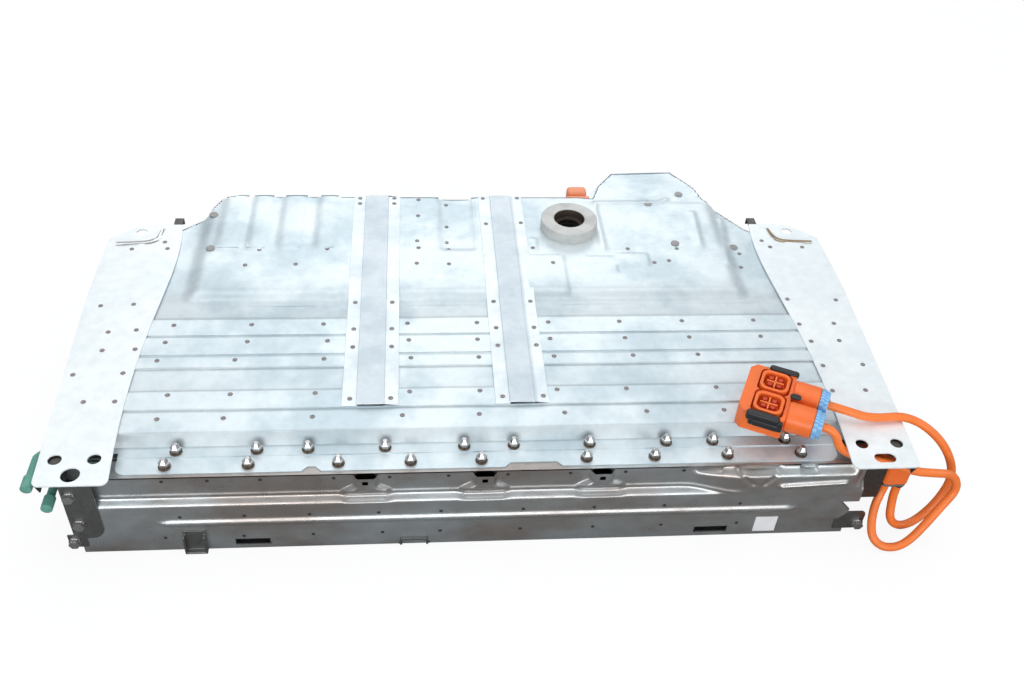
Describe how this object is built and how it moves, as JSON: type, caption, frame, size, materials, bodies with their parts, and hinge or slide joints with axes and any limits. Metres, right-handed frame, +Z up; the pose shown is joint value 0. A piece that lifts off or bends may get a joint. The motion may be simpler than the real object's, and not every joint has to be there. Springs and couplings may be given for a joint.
{
  "type": "ev battery module",
  "caption": "Sealed steel battery pack for an electric vehicle: pressed cover with side wings on a tray, front beam, vent collar and a loose high-voltage plug on two cables.",
  "frame": {"origin": "centre of the pack's bounding box, at the underside of the foot rails, measured without the loose cables and plug", "axes": "+X to the right across the pack seen from its front beam, +Y from the front beam towards the rear, +Z up"},
  "size_m": [1.2664, 0.7565, 0.202],
  "materials": {
    "galvanised_sheet": "bright galvanised",
    "galvanised_beam": "galvanised",
    "zinc_fasteners": "bright zinc",
    "dark_steel": "satin black",
    "zinc_bracket": "zinc plated",
    "gasket_rubber": "matt",
    "collar_alloy": "cast",
    "orange_plastic": "semi gloss",
    "orange_cable": "satin sheath",
    "blue_seal": "satin",
    "black_plastic": "matt",
    "green_cap": "matt",
    "pipe_aluminium": "drawn",
    "cell_case": "plain",
    "module_plastic": "matt",
    "bus_copper": "plain copper",
    "sense_board": "lacquered",
    "liner_sheet": "matt",
    "tin_terminal": "tinned"
  },
  "bodies": {
    "root": {"upper_cover": "galvanised_sheet", "strap_left": "galvanised_sheet", "strap_right": "galvanised_sheet", "wing_left": "galvanised_sheet", "wing_right": "galvanised_sheet", "vent_collar": "collar_alloy", "vent_tube": "gasket_rubber", "cover_plugs": "zinc_bracket", "lower_tray": "galvanised_beam", "rim_gasket": "gasket_rubber", "front_panel": "galvanised_beam", "bracket_left": "zinc_bracket", "bracket_right": "zinc_bracket", "end_bolts": "zinc_fasteners", "jack_foot": "zinc_bracket", "harness_staple": "zinc_bracket", "flange_nuts": "zinc_fasteners", "rim_bolts": "zinc_fasteners", "hook_left": "dark_steel", "hook_right": "dark_steel", "service_base": "orange_plastic", "service_grip": "orange_plastic", "outlet_housing": "orange_plastic", "outlet_plate": "dark_steel", "outlet_clamp": "zinc_bracket", "outlet_glands": "black_plastic", "pipe_upper": "pipe_aluminium", "pipe_lower": "pipe_aluminium", "pipe_caps": "green_cap", "pipe_ports": "zinc_bracket", "plug_housing": "orange_plastic", "socket_lower": "orange_plastic", "socket_upper": "orange_plastic", "plug_terminals": "tin_terminal", "plug_clips": "black_plastic", "shell_lower": "orange_plastic", "shell_upper": "orange_plastic", "cable_seals": "blue_seal", "floor_liner": "liner_sheet", "battery_cells": "cell_case", "module_end_plates": "module_plastic", "module_tie_bars": "zinc_bracket", "cell_bus_bars": "bus_copper", "sense_boards": "sense_board", "bay_board": "module_plastic", "contactors": "black_plastic", "main_fuse": "module_plastic", "current_sensor": "black_plastic", "battery_ecu": "black_plastic", "outlet_bars": "bus_copper", "cable_upper": "orange_cable", "cable_lower": "orange_cable"}
  },
  "joints": []
}
